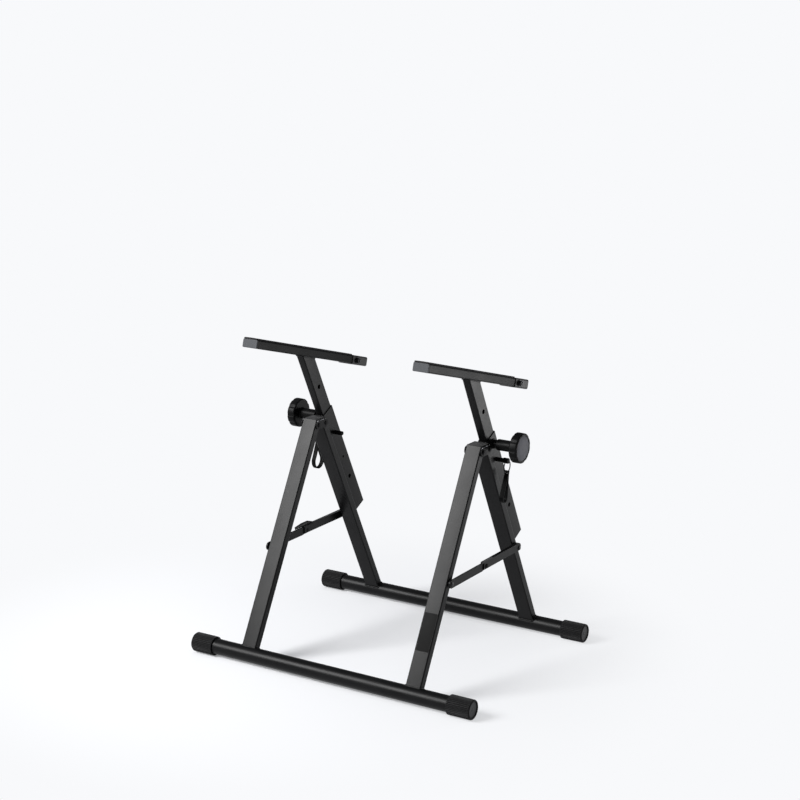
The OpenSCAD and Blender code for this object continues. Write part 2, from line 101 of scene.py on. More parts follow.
def tint(tree, amount, under, over):
    """One colour giving way to another; each is another node's colour or a red, green and blue."""
    under, over = (c if isinstance(c, bpy.types.NodeSocket) else (*c, 1) for c in (under, over))
    mix = wire(tree, "ShaderNodeMix", {0: amount, 6: under, 7: over}, data_type="RGBA")
    return mix.outputs[2]


def emboss(tree, shader, height, strength, depth):
    """Raises and lowers the surface's shading by a height pattern; depth is in metres."""
    bump = wire(tree, "ShaderNodeBump", {"Height": height, "Strength": strength, "Distance": depth})
    tree.links.new(bump.outputs[0], shader.inputs["Normal"])


def blank_finish(name):
    """A material with its shader, and the place on the piece that its grain is laid out by."""
    finish = bpy.data.materials.new(name)
    finish.use_nodes = True
    tree = finish.node_tree
    spot = wire(tree, "ShaderNodeTexCoord", {})
    return finish, tree, tree.nodes["Principled BSDF"], spot


def powder_coat(name, wear_and_highlight=None, wear_and_highlight_to=0.011, matt=0.28, gloss=0.098):
    """Satin black powder coat: a fine pebble, faint clouding and small scuffs. It can also be scuffed paler
    at the "corners" of a tube, or carry a painted highlight along the "top" of a plate's edge, where
    up-facing edges are painted near white."""
    finish, tree, coat, spot = blank_finish(name)
    where = spot.outputs["Object"]
    cloud = grain(tree, where, 16, 4)
    bare_and_highlit = span(tree, grain(tree, where, 52, 9, 0.72), 0.66, 0.74)
    if wear_and_highlight:
        if wear_and_highlight == "corners":
            facing = wire(tree, "ShaderNodeVectorMath", {0: spot.outputs["Normal"]}, operation="ABSOLUTE")
            axis = wire(tree, "ShaderNodeSeparateXYZ", {0: facing.outputs[0]})
            most = maths(tree, "MAXIMUM", axis.outputs[0], axis.outputs[1])
            edge = span(tree, maths(tree, "MAXIMUM", most, axis.outputs[2]), 0.985, 0.8)
        else:
            # Along the top: up-facing edges are painted very pale, a painted highlight where a plate's top
            # edge catches the light.
            axis = wire(tree, "ShaderNodeSeparateXYZ", {0: spot.outputs["Normal"]})
            edge = span(tree, axis.outputs[2], 0.75, 0.95)
        broken = span(tree, grain(tree, where, 260, 3, 0.6), 0.42, 0.62, 0.15, 1.0)
        bare_and_highlit = maths(tree, "MAXIMUM", maths(tree, "MULTIPLY", edge, broken), bare_and_highlit)
    base = tint(tree, span(tree, cloud, 0.3, 0.7), COAT_DARK, COAT_PALE)
    worn_and_highlit = tint(tree, bare_and_highlit, base, (wear_and_highlight_to, wear_and_highlight_to, 1.05 * wear_and_highlight_to))
    tree.links.new(worn_and_highlit, coat.inputs["Base Color"])
    satin = maths(tree, "ADD", span(tree, cloud, 0.25, 0.75, matt, matt + 0.07),
        span(tree, bare_and_highlit, 0.0, 1.0, 0.0, -0.07))
    tree.links.new(satin, coat.inputs["Roughness"])
    emboss(tree, coat, grain(tree, where, 1100, 2), 0.35, 0.00012)
    coat.inputs["Specular IOR Level"].default_value = gloss
    return finish


def ring_around(radius, x, count):
    """Points of a circle about the X axis."""
    return [(x, radius * math.cos(math.tau * k / count), radius * math.sin(math.tau * k / count))
        for k in range(count)]


def skin(rings, capped=False, looped=False):
    """Joins rings of points with faces; capped closes both ends, looped joins the last to the first."""
    count = len(rings[0])
    points = [p for ring in rings for p in ring]
    faces = []
    for i in range(len(rings) if looped else len(rings) - 1):
        a, b = i * count, (i + 1) % len(rings) * count
        faces += [(a + k, a + (k + 1) % count, b + (k + 1) % count, b + k) for k in range(count)]
    if capped:
        faces += [tuple(range(count)), tuple(range(len(points) - count, len(points)))]
    return points, faces


def turned(outline, count=64):
    """A turned solid about the X axis, from a closed outline of (radius, x)."""
    return skin([ring_around(r, x, count) for r, x in outline], looped=True)


def at(x, y, z):
    """A place given in millimetres."""
    return Matrix.Translation((x / 1000, y / 1000, z / 1000))


def fit(name, shells, place, finishes, body, stands_for=(), rounding=0.0):
    """Makes one piece in millimetres in its own frame, sets it in place and lets it ride on its body.
    Each shell is (points, faces) and may end with which of the finishes it has."""
    whole = bmesh.new()
    for shell in shells:
        part = bmesh.new()
        corners = [part.verts.new(Vector(p) * 0.001) for p in shell[0]]
        for f in shell[1]:
            part.faces.new([corners[k] for k in f])
        bmesh.ops.remove_doubles(part, verts=part.verts, dist=2e-6)
        bmesh.ops.dissolve_degenerate(part, edges=part.edges, dist=1e-6)
        if rounding:
            bmesh.ops.dissolve_limit(part, angle_limit=math.radians(0.4), verts=part.verts,
                edges=part.edges)
        bmesh.ops.recalc_face_normals(part, faces=part.faces)
        for f in part.faces:
            f.smooth = True
            f.material_index = shell[2] if len(shell) > 2 else 0
        held = bpy.data.meshes.new("held")
        part.to_mesh(held)
        part.free()
        whole.from_mesh(held)
        bpy.data.meshes.remove(held)
    mesh = bpy.data.meshes.new(name)
    whole.to_mesh(mesh)
    whole.free()
    mesh.set_sharp_from_angle(angle=math.radians(CREASE_ANGLE))
    piece = bpy.data.objects.new(name, mesh)
    bpy.context.scene.collection.objects.link(piece)
    piece.matrix_world = place
    for finish in finishes if isinstance(finishes, list) else [finishes]:
        mesh.materials.append(finish)
    if rounding:
        edge = piece.modifiers.new("rounded edges", "BEVEL")
        edge.width = rounding * 0.001
        edge.segments = 3
        edge.limit_method = "ANGLE"
        edge.angle_limit = math.radians(ROUNDED_ANGLE)
        edge.harden_normals = True
        edge.use_clamp_overlap = False
    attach(piece, body)
    if stands_for:
        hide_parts(*([stands_for] if isinstance(stands_for, str) else stands_for))


round_coat = powder_coat("powder_coat_round", matt=0.34, gloss=0.125)
corner_coat = powder_coat("powder_coat_square", "corners")
base_tube = turned([(TUBE_RADIUS, -TUBE_REACH), (TUBE_RADIUS, TUBE_REACH),
    (TUBE_RADIUS - TUBE_WALL, TUBE_REACH), (TUBE_RADIUS - TUBE_WALL, -TUBE_REACH)], 96)
for row, end in ROWS:
    fit(f"{row}_base_tube_steel", [base_tube], at(0, end * TUBE_Y, TUBE_HEIGHT), round_coat,
        f"{row}_frame", f"{row}_base_tube")

# ---- End caps ----
# Moulded black rubber caps are pushed over the ends of the base tubes and stand on the floor. Each has
# fine grooves along its side, all the way round, a soft outer edge and a sunk, paler disc in its end.
HANDS = (("left", -1), ("right", 1))
CAP_RADIUS, CAP_BORE, CAP_EDGE = 17.5, 14.35, 2.5
CAP_OPEN, CAP_CLOSED = 245, 290
CAP_GROOVES, GROOVE_POINTS, GROOVE_DEEP = 36, 12, 1.1
CAP_RECESS = ((14.1, 0), (13.7, 0.2), (13.5, 0.7), (13.5, 2.9), (0, 2.9), (0, 8), (CAP_BORE, 8))
CAP_DISC = ((0, 2.6), (13.4, 2.6), (13.4, 1.9), (13, 1.5), (11.4, 1.5), (11.1, 1.75), (3.4, 1.75),
    (2.8, 1.3), (0, 1.2))


def moulded(name, colour, roughness, texture, depth, dust=0.0, gloss=0.4):
    """Moulded rubber or plastic: an even dark colour with a faint bloom and specks of dust, and a fine
    texture, given as blotches in a metre and a depth in metres."""
    finish, tree, body, spot = blank_finish(name)
    where = spot.outputs["Object"]
    cloud = grain(tree, where, 45, 5, 0.6)
    fleck = span(tree, grain(tree, where, 420, 4, 0.65), 0.58, 0.76, 0.0, dust)
    base = tint(tree, span(tree, cloud, 0.3, 0.7), [0.85 * c for c in colour], [1.2 * c for c in colour])
    tree.links.new(tint(tree, fleck, base, (0.11, 0.11, 0.11)), body.inputs["Base Color"])
    tree.links.new(span(tree, cloud, 0.3, 0.7, roughness - 0.05, roughness + 0.05),
        body.inputs["Roughness"])
    emboss(tree, body, grain(tree, where, texture, 3), 0.4, depth)
    body.inputs["Specular IOR Level"].default_value = gloss
    return finish


def ribbed_rubber():
    """Black rubber, nearly matt, with a little dust, and painted shade in the grooves round the X axis: the
    crests are painted paler than the groove floors.
    """
    finish = moulded("cap_rubber", (0.0028, 0.0028, 0.003), 0.5, 900, 0.0002, dust=0.05, gloss=0.09)
    tree = finish.node_tree
    colour = tree.nodes["Principled BSDF"].inputs["Base Color"]
    spot = wire(tree, "ShaderNodeTexCoord", {})
    across = wire(tree, "ShaderNodeVectorMath", {0: spot.outputs["Object"], 1: (0, 1, 1)},
        operation="MULTIPLY")
    out = wire(tree, "ShaderNodeVectorMath", {0: across.outputs[0]}, operation="LENGTH")
    # Painted shade: everything near the full radius is paler than the groove floors.
    painted_groove_shade = span(tree, out.outputs["Value"], (CAP_RADIUS - 0.8) / 1000, (CAP_RADIUS - 0.1) / 1000)
    plain = colour.links[0].from_socket
    tree.links.new(tint(tree, painted_groove_shade, plain, (0.012, 0.012, 0.0125)), colour)
    return finish


def cap_ring(radius, x, groove):
    """A ring of the cap; groove is the share of the full groove depth that it has there. Each groove
    is part of a circle of 1 mm radius, and off is how far a point lies from its middle line."""
    count = GROOVE_POINTS * CAP_GROOVES
    ring = []
    for k in range(count):
        turn = math.tau * (k + 0.5) / count
        step = (k + 0.5) % GROOVE_POINTS - GROOVE_POINTS / 2
        off = step / GROOVE_POINTS * math.tau / CAP_GROOVES * CAP_RADIUS
        cut = GROOVE_DEEP * max(0.0, math.sqrt(max(0.0, 1 - off * off)) - 0.25) / 0.75
        r = radius - groove * cut
        ring.append((x, r * math.cos(turn), r * math.sin(turn)))
    return ring


def moved(shell, x=0, y=0, z=0, mirror=False):
    """The shell shifted, after it is flipped left to right where mirror is set."""
    k = -1 if mirror else 1
    return [(k * px + x, py + y, pz + z) for px, py, pz in shell[0]], *shell[1:]


cap_rubber = ribbed_rubber()
cap_disc_rubber = moulded("cap_disc_rubber", (0.03, 0.03, 0.031), 0.5, 700, 0.00015, dust=0.12, gloss=0.25)
cap_rings = [cap_ring(CAP_BORE, CAP_OPEN, 0), cap_ring(CAP_RADIUS - 0.5, CAP_OPEN, 1),
    cap_ring(CAP_RADIUS, CAP_OPEN + 0.5, 1), cap_ring(CAP_RADIUS, CAP_CLOSED - CAP_EDGE - 2, 1)]
for step in range(9):
    a = math.radians(step * 11.25)
    cap_rings.append(cap_ring(CAP_RADIUS - CAP_EDGE + CAP_EDGE * math.cos(a),
        CAP_CLOSED - CAP_EDGE + CAP_EDGE * math.sin(a), max(0.0, 1 - step / 4)))
cap_rings += [cap_ring(r, CAP_CLOSED - down, 0) for r, down in CAP_RECESS]
cap = [skin(cap_rings, looped=True),
    (*turned([(r, CAP_CLOSED - down) for r, down in CAP_DISC], 72), 1)]
for row, end in ROWS:
    for hand, side in HANDS:
        fit(f"{row}_end_cap_{hand}", [moved(shell, mirror=side < 0) for shell in cap],
            at(0, end * TUBE_Y, TUBE_HEIGHT), [cap_rubber, cap_disc_rubber], f"{row}_frame",
            f"{row}_cap_{hand}")

# ---- Legs ----
# Flat rectangular steel tubes with rounded corners lean together into an A on each side. Their feet
# are cut to a saddle and welded round on the base tubes, and their tops are cut level and plugged.
SIDE_X = 172
LEAN = 27.5
LEG_WIDTH, LEG_DEPTH, TUBE_CORNER = 30, 15, 2
FOOT_WELD, FOOT_WELD_OUT = 1.7, 0.3
WELD_STEP, WELD_RIPPLE, WELD_SIDES = 0.8, 2.6, 10


def leg_frame(side, end):
    """Local Z runs up the leg from the middle of its base tube, and local Y to the rear."""
    return (at(side * SIDE_X, end * TUBE_Y, TUBE_HEIGHT)
        @ Matrix.Rotation(math.radians(end * LEAN), 4, "X"))


def cad_form(node, place):
    """The worked-out form of a CAD piece in millimetres, in the frame it will be set in."""
    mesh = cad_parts[node].data
    back = place.inverted()
    return [tuple(1000 * (back @ v.co)) for v in mesh.vertices], [tuple(p.vertices) for p in mesh.polygons]


def outline(width, depth, corner, out=0.0):
    """Points round a rectangle with rounded corners, moved outwards by out."""
    points = []
    for cx, cy, start in ((1, 1, 0), (-1, 1, 90), (-1, -1, 180), (1, -1, 270)):
        for k in range(7):
            a = math.radians(start + 15 * k)
            points.append((cx * (width / 2 - corner) + (corner + out) * math.cos(a),
                cy * (depth / 2 - corner) + (corner + out) * math.sin(a)))
    return points


def dense(points, gap):
    """The same closed path with points no further apart than gap."""
    path = []
    for i, p in enumerate(points):
        q = points[(i + 1) % len(points)]
        steps = max(1, math.ceil(math.dist(p, q) / gap))
        path += [tuple(a + (b - a) * k / steps for a, b in zip(p, q)) for k in range(steps)]
    return path


def bead(path, radius, looped=True):
    """A weld bead along a path of points: a rounded rope whose thickness ripples as it runs, and which
    tapers at its ends where it isn't looped. No weld on the stand runs along askew."""
    askew = Vector((0.31, 0.52, 0.79))
    rings, run = [], 0.0
    spots = [Vector(p) for p in path]
    for i, p in enumerate(spots):
        back = spots[i - 1] if looped or i else p
        ahead = spots[(i + 1) % len(spots)] if looped or i + 1 < len(spots) else p
        run += (p - back).length
        along = (ahead - back).normalized()
        across = along.cross(askew).normalized()
        up = along.cross(across)
        fat = radius * (0.86 + 0.14 * abs(math.sin(math.pi * run / WELD_RIPPLE)))
        if not looped and i in (0, len(spots) - 1):
            fat = radius * 0.25
        rings.append([tuple(p + fat * (across * math.cos(math.tau * k / WELD_SIDES)
            + up * math.sin(math.tau * k / WELD_SIDES))) for k in range(WELD_SIDES)])
    return skin(rings, capped=not looped, looped=looped)


plug_plastic = moulded("plug_plastic", (0.04, 0.04, 0.041), 0.45, 1500, 0.00008, dust=0.06, gloss=0.2)
foot = [(x, y, math.sqrt(TUBE_RADIUS ** 2 - y * y) + FOOT_WELD_OUT) for x, y in dense(
    outline(LEG_WIDTH, LEG_DEPTH, TUBE_CORNER, out=FOOT_WELD_OUT), WELD_STEP)]
for row, end in ROWS:
    for hand, side in HANDS:
        place = leg_frame(side, end)
        fit(f"{row}_leg_{hand}_steel", [cad_form(f"{row}_leg_{hand}", place)], place, corner_coat,
            f"{row}_frame", f"{row}_leg_{hand}", rounding=0.35)
        fit(f"{row}_foot_weld_{hand}", [bead(foot, FOOT_WELD)], place, round_coat, f"{row}_frame")
    fit(f"{row}_leg_top_plugs", [cad_form(f"{row}_leg_plugs", Matrix.Identity(4))],
        Matrix.Identity(4), plug_plastic, f"{row}_frame", f"{row}_leg_plugs",
        rounding=0.3)

# ---- Blank label ----
# A strip of thin black film with round corners is stuck low on the front of the right front leg. It is
# bare, and duller than the coat around it.
LABEL_MIDDLE, LABEL_LENGTH, LABEL_WIDTH, LABEL_CORNER = 108, 67, 25.4, 2
LABEL_SUNK, LABEL_EDGE, LABEL_THICK = 0.02, 0.12, 0.16


def film_black():
    finish, tree, film, spot = blank_finish("label_film")
    where = spot.outputs["Object"]
    cloud = grain(tree, where, 60, 4)
    tree.links.new(tint(tree, cloud, [0.0045] * 3, [0.0075] * 3), film.inputs["Base Color"])
    tree.links.new(span(tree, cloud, 0.3, 0.7, 0.46, 0.56), film.inputs["Roughness"])
    film.inputs["Specular IOR Level"].default_value = 0.05
    emboss(tree, film, grain(tree, where, 140, 2), 0.3, 0.0002)
    return finish


rim = [(x, z + LABEL_MIDDLE) for x, z in dense(outline(LABEL_WIDTH, LABEL_LENGTH, LABEL_CORNER), 4)]
leg_face = -LEG_DEPTH / 2
fit("front_leg_blank_label", [skin([
        [(x, leg_face + LABEL_SUNK, z) for x, z in rim], [(x, leg_face - LABEL_EDGE, z) for x, z in rim],
        [(x * 0.985, leg_face - LABEL_THICK, (z - LABEL_MIDDLE) * 0.994 + LABEL_MIDDLE) for x, z in rim]],
        capped=True)],
    leg_frame(1, -1), film_black(), "front_frame")

# ---- Hinge ----
# Two flat steel plates with round ends join the leg tops of each side frame, one on either side of the
# legs, with small scuffs and a painted highlight along their top edges. Two domed rivets hold them, and the
# front leg turns on one.
HINGE_Y, HINGE_Z = 11.348, 401.027
PLATE_OUT, HEAD_OUTER = 16.9, 18.3
RIVET_RADIUS, RIVET_HEAD = 2.5, 4


def plated(name, colour, roughness):
    """Zinc-plated steel, blackened or bright, with a fine drawn grain and small scratches."""
    finish, tree, metal, spot = blank_finish(name)
    where = spot.outputs["Object"]
    cloud = grain(tree, where, 120, 5, 0.6)
    scratch = span(tree, grain(tree, where, 900, 6, 0.75), 0.56, 0.7)
    base = tint(tree, span(tree, cloud, 0.3, 0.7), [0.8 * c for c in colour], [1.25 * c for c in colour])
    tree.links.new(tint(tree, scratch, base, [min(1, 1.9 * c) for c in colour]), metal.inputs["Base Color"])
    tree.links.new(span(tree, cloud, 0.3, 0.7, roughness - 0.06, roughness + 0.06),
        metal.inputs["Roughness"])
    emboss(tree, metal, scratch, 0.2, 0.00005)
    metal.inputs["Metallic"].default_value = 1.0
    return finish


def shank(start, end, radius):
    """A plain pin about the X axis."""
    return turned([(0, start), (radius, start), (radius, end), (0, end)], 32)


def domed_head(start, end, radius):
    """A domed rivet head about the X axis, flat at start and highest at end."""
    grow = end - start
    arc = [(radius * math.cos(math.radians(a)), start + grow * (0.3 + 0.7 * math.sin(math.radians(a))))
        for a in range(0, 91, 10)]
    return turned([(0, start), (radius - 0.2, start), (radius, start + 0.2 * grow), *arc], 48)


black_zinc = plated("black_zinc", (0.022, 0.022, 0.023), 0.34)
# The plates' top edges are painted near white, a painted highlight over the small scuffs.
plate_coat_painted_highlight = powder_coat("powder_coat_plates_painted_highlight", "top", wear_and_highlight_to=0.75, gloss=0.06)
rivet_coat = powder_coat("powder_coat_rivets", matt=0.5, gloss=0.05)
for hand, side in HANDS:
    plates = at(side * SIDE_X, 0, HINGE_Z)
    fit(f"hinge_plates_{hand}_steel", [cad_form(f"hinge_plates_{hand}", plates)], plates,
        plate_coat_painted_highlight, "rear_frame", f"hinge_plates_{hand}", rounding=0.4)
head = domed_head(PLATE_OUT, HEAD_OUTER, RIVET_HEAD)
for name, y in (("hinge_pivots", -HINGE_Y), ("hinge_rivets", HINGE_Y)):
    shells = []
    for side in (-1, 1):
        shells.append(moved(shank(-PLATE_OUT, PLATE_OUT, RIVET_RADIUS), side * SIDE_X, y, HINGE_Z))
        shells += [moved(head, side * SIDE_X, y, HINGE_Z, mirror) for mirror in (False, True)]
    fit(f"{name}_domed", shells, Matrix.Identity(4), rivet_coat, "rear_frame", name)

# ---- Sleeves ----
# A rectangular tube with thin walls is welded up the back of each rear leg, and the post slides in
# it. It is drilled for the safety pin, and a round threaded boss for the clamp is welded on outside.
POST_OFF = 24.25
SLEEVE_TOP, SLEEVE_HALF, CLAMP_DROP = 439.957, 9.25, 16
CLAMP_UP = SLEEVE_TOP - CLAMP_DROP
SEAMS, SEAM_WELD = ((208, 232), (300, 322), (388, 408)), 1.5
BOSS_RADIUS, BOSS_BORE, BOSS_OUT, BOSS_WELD = 8, 4.1, 17.25, 1.25


def on_sleeve(side, up):
    """The place on a sleeve's centre line that is this many millimetres up the leg."""
    return leg_frame(side, 1) @ Vector((0, POST_OFF / 1000, up / 1000))


for hand, side in HANDS:
    place = leg_frame(side, 1)
    fit(f"sleeve_{hand}_steel", [cad_form(f"sleeve_{hand}", place)], place, corner_coat,
        "rear_frame", f"sleeve_{hand}", rounding=0.3)
    seams = []
    for edge in (-1, 1):
        for low, high in SEAMS:
            seams.append(bead([(edge * (SLEEVE_HALF + 0.1), LEG_DEPTH / 2 + 0.2, low + k * WELD_STEP)
                for k in range(int((high - low) / WELD_STEP))], SEAM_WELD, looped=False))
    fit(f"sleeve_seams_{hand}", seams, place, round_coat, "rear_frame")

boss = turned([(BOSS_BORE, SLEEVE_HALF), (BOSS_RADIUS, SLEEVE_HALF), (BOSS_RADIUS, BOSS_OUT - 0.75),
    (BOSS_RADIUS - 0.7, BOSS_OUT), (BOSS_BORE + 0.8, BOSS_OUT), (BOSS_BORE, BOSS_OUT - 0.65)])
boss_foot = bead(ring_around(BOSS_RADIUS + 0.3, SLEEVE_HALF + 0.35, 64), BOSS_WELD)
for name, shell, stands_for in (("clamp_bosses", boss, "clamp_nuts"), ("clamp_boss_welds", boss_foot, ())):
    pair = []
    for side in (-1, 1):
        pair.append(moved(shell, *(1000 * on_sleeve(side, CLAMP_UP)), side < 0))
    fit(name, pair, Matrix.Identity(4), round_coat, "rear_frame", stands_for)

# ---- Posts ----
# A rectangular steel tube slides in each sleeve and is welded under its arm. A slot and a further hole
# run through it for the pin, and a plastic plug closes its lower end.
ARM_Y, ARM_Z, ARM_TILT = -28.82, 530.70, 15
POST_WIDTH, POST_DEPTH, POST_WELD = 15, 30, 1.4


def arm_frame(side):
    """Local Y runs back along the arm, and Z = 0 is its underside."""
    return at(side * SIDE_X, ARM_Y, ARM_Z) @ Matrix.Rotation(math.radians(-ARM_TILT), 4, "X")


for hand, side in HANDS:
    place = leg_frame(side, 1)
    fit(f"post_{hand}_steel", [cad_form(f"post_{hand}", place)], place, corner_coat,
        f"arm_{hand}", f"post_{hand}", rounding=0.3)
    fit(f"post_{hand}_foot_plug", [cad_form(f"post_plug_{hand}", place)], place, plug_plastic,
        f"arm_{hand}", f"post_plug_{hand}", rounding=0.5)
    under = place.inverted() @ arm_frame(side)
    flat = under.to_3x3() @ Vector((0, 0, 1))
    root = 1000 * under.translation
    seam = []
    for x, y in dense(outline(POST_WIDTH, POST_DEPTH, TUBE_CORNER, out=0.2), WELD_STEP):
        up = root.z - (flat.x * (x - root.x) + flat.y * (y + POST_OFF - root.y)) / flat.z
        seam.append((x, y + POST_OFF, up - 0.5))
    fit(f"post_weld_{hand}", [bead(seam, POST_WELD)], place, round_coat, f"arm_{hand}")

# ---- Arms ----
# Each arm is a flat steel tube, tilted down to the rear. It has a grey plastic plug in front, a
# moulded cover over its rear end, a rubber strip glued along its top, and a cross bolt with a nut.
ARM_FRONT = -177
PAD_END, PAD_WIDTH, PAD_THICK = 134, 28, 3
PAD_EDGE, PAD_CROWN, PAD_ROUND, PAD_STEP = 1.2, 0.3, 1.1, 12.86
BOLT_Y, BOLT_Z, COVER_SIDE = 150, 7.5, 16.25
BOLT_RADIUS, BOLT_HOLE, BOLT_START, BOLT_END = 3, 3.05, -17, 23.25
BOLT_HEAD, BOLT_HEAD_HIGH = 5, 3
BOLT_WASHER, WASHER_THICK, NUT_FLATS, NUT_END = 6.6, 1.2, 10, 22.25

# Painted shade: the arms get a duller copy of the coat, darker than the posts, as if shaded from above.
arm_coat_painted_shade = powder_coat("powder_coat_arms_painted_shade", "corners", gloss=0.04)
grey_plastic = moulded("grey_plastic", (0.042, 0.0445, 0.049), 0.5, 1200, 0.0001, dust=0.04, gloss=0.2)
cover_plastic = moulded(
    "cover_plastic", (0.0065, 0.0065, 0.0068), 0.42, 1600, 0.0001, dust=0.08, gloss=0.22)
pad_rubber = moulded("pad_rubber", (0.006, 0.006, 0.0062), 0.7, 1300, 0.0003, dust=0.12, gloss=0.18)


def pad_ring(y, inset):
    """A cross-section of the rubber strip: flat below, a soft crown and rounded upper edges."""
    half = PAD_WIDTH / 2 - inset
    flat = half - PAD_EDGE
    low = LEG_DEPTH + PAD_THICK - inset - PAD_CROWN - PAD_EDGE
    edge = [(flat + PAD_EDGE * math.cos(math.radians(a)), low + PAD_EDGE * math.sin(math.radians(a)))
        for a in (0, 22.5, 45, 67.5, 90)]
    ring = [(-half, y, LEG_DEPTH), (half, y, LEG_DEPTH)]
    ring += [(x, y, z) for x, z in edge]
    for k in range(1, 8):
        x = flat * (1 - k / 4)
        ring.append((x, y, low + PAD_EDGE + PAD_CROWN * (1 - (x / flat) ** 2)))
    ring += [(-x, y, z) for x, z in reversed(edge)]
    return ring


def threaded(start, end, radius, depth, pitch):
    """A screw thread about the X axis between start and end, with both ends chamfered."""
    chamfer, count, rings_a_turn = 0.9, 24, 6
    rings = []
    steps = int((end - start) / pitch * rings_a_turn)
    for i in range(steps + 1):
        x = start + (end - start) * i / steps
        most = radius - chamfer + max(0.0, min(end - x, x - start))
        ring = []
        for k in range(count):
            turn = ((x - start) / pitch - k / count) % 1.0
            r = min(most, radius - depth * abs(2 * turn - 1))
            ring.append((x, r * math.cos(math.tau * k / count), r * math.sin(math.tau * k / count)))
        rings.append(ring)
    return skin(rings, capped=True)


def washer(start, end, radius, bore):
    """A flat ring about the X axis with its outer edges chamfered."""
    return turned([(bore, start), (radius - 0.3, start), (radius, start + 0.3), (radius, end - 0.3),
        (radius - 0.3, end), (bore, end)], 48)


def hex_nut(start, end, flats, bore):
    """A hexagon nut about the X axis: six flats with their corners turned off on both faces."""
    chamfer, count = 0.55, 72
    corner = flats / 2 / math.cos(math.radians(30))
    face = flats / 2 * 1.02
    rings = []
    for x, most in ((start, face), (start + chamfer, corner), (end - chamfer, corner), (end, face)):
        ring = []
        for k in range(count):
            a = math.tau * k / count
            r = min(most, flats / 2 / math.cos((a % math.radians(60)) - math.radians(30)))
            ring.append((x, r * math.cos(a), r * math.sin(a)))
        rings.append(ring)
    rings += [ring_around(bore + 0.5, end, count), ring_around(bore, end - 0.5, count),
        ring_around(bore, start, count)]
    return skin(rings, looped=True)


pad_end = ((0, PAD_ROUND), (0.3, 0.5), (PAD_ROUND, 0.0))
strip = [(ARM_FRONT + run, inset) for run, inset in pad_end]
strip += [(ARM_FRONT + PAD_ROUND + k * PAD_STEP, 0.0) for k in range(1, 24)]
strip += [(PAD_END - run, inset) for run, inset in reversed(pad_end)]
cross_bolt = [
    threaded(COVER_SIDE, BOLT_END, BOLT_RADIUS, depth=0.35, pitch=1.0),
    washer(COVER_SIDE, COVER_SIDE + WASHER_THICK, BOLT_WASHER, BOLT_HOLE),
    hex_nut(COVER_SIDE + WASHER_THICK, NUT_END, NUT_FLATS, BOLT_HOLE),
    shank(BOLT_START, COVER_SIDE + 0.3, BOLT_RADIUS),
    moved(domed_head(COVER_SIDE, COVER_SIDE + BOLT_HEAD_HIGH, BOLT_HEAD), mirror=True)]
for hand, side in HANDS:
    place = arm_frame(side)
    body = f"arm_{hand}"
    fit(f"arm_{hand}_steel", [cad_form(f"arm_{hand}", place)], place, arm_coat_painted_shade, body,
        f"arm_{hand}", rounding=0.3)
    fit(f"arm_{hand}_front_plug", [cad_form(f"arm_plug_{hand}", place)], place, grey_plastic, body,
        f"arm_plug_{hand}", rounding=0.7)
    fit(f"arm_{hand}_rear_cover", [cad_form(f"arm_cover_{hand}", place)], place, cover_plastic, body,
        f"arm_cover_{hand}", rounding=0.5)
    fit(f"arm_{hand}_rubber_strip", [skin([pad_ring(y, inset) for y, inset in strip], capped=True)],
        place, pad_rubber, body, f"arm_pad_{hand}")
    fit(f"arm_{hand}_cross_bolt", [moved(shell, 0, BOLT_Y, BOLT_Z) for shell in cross_bolt], place,
        black_zinc, body, f"arm_bolt_{hand}")

# ---- Brace ----
# A two-link brace on the outside of each side frame locks the A open. The rear link is a folded
# channel with an upturned finger lip, and the front one is a flat bar with a washer between it and
# the leg. Three domed rivets hold them.
BRACE_Z, BRACE_Y, BRACE_MID = 192.5, 119.901, -2
BRACE_PIN, BRACE_HOLE, BRACE_HEAD, BRACE_HEAD_HIGH = 3, 3.05, 4.25, 1.8
MIDDLE_RIVET, FRONT_RIVET, REAR_RIVET = (15.5, 23.2), (15.3, 21), (12, 23.5)
WASHER_OUT = 17.7


def brace_rivet(start, end):
    """A rivet between two distances out from the middle of the side frame, and its domed head."""
    seat = end - 0.1
    return [shank(start, end, BRACE_PIN), domed_head(seat, seat + BRACE_HEAD_HIGH, BRACE_HEAD)]


for hand, side in HANDS:
    place = at(side * SIDE_X, 0, BRACE_Z)
    for link, rounding in (("rear", 0.75), ("front", 0.5)):
        fit(f"brace_{link}_link_{hand}_steel", [cad_form(f"brace_{link}_link_{hand}", place)], place,
            corner_coat, f"brace_{link}_{hand}", f"brace_{link}_link_{hand}",
            rounding=rounding)
    middle = brace_rivet(*MIDDLE_RIVET)
    fit(f"brace_middle_rivet_{hand}", [moved(s, 0, BRACE_MID, 0, side < 0) for s in middle], place,
        rivet_coat, f"brace_rear_{hand}", f"brace_mid_rivet_{hand}")
    front = [*brace_rivet(*FRONT_RIVET), washer(FRONT_RIVET[0], WASHER_OUT, BRACE_HEAD, BRACE_HOLE)]
    fit(f"brace_front_rivet_{hand}_domed", [moved(s, 0, -BRACE_Y, 0, side < 0) for s in front], place,
        black_zinc, f"brace_front_{hand}", f"brace_front_rivet_{hand}")
rear = [moved(s, side * SIDE_X, BRACE_Y, BRACE_Z, side < 0) for side in (-1, 1)
    for s in brace_rivet(*REAR_RIVET)]
fit("brace_rear_rivets_domed", rear, Matrix.Identity(4), black_zinc, "rear_frame",
    "brace_rear_rivets")

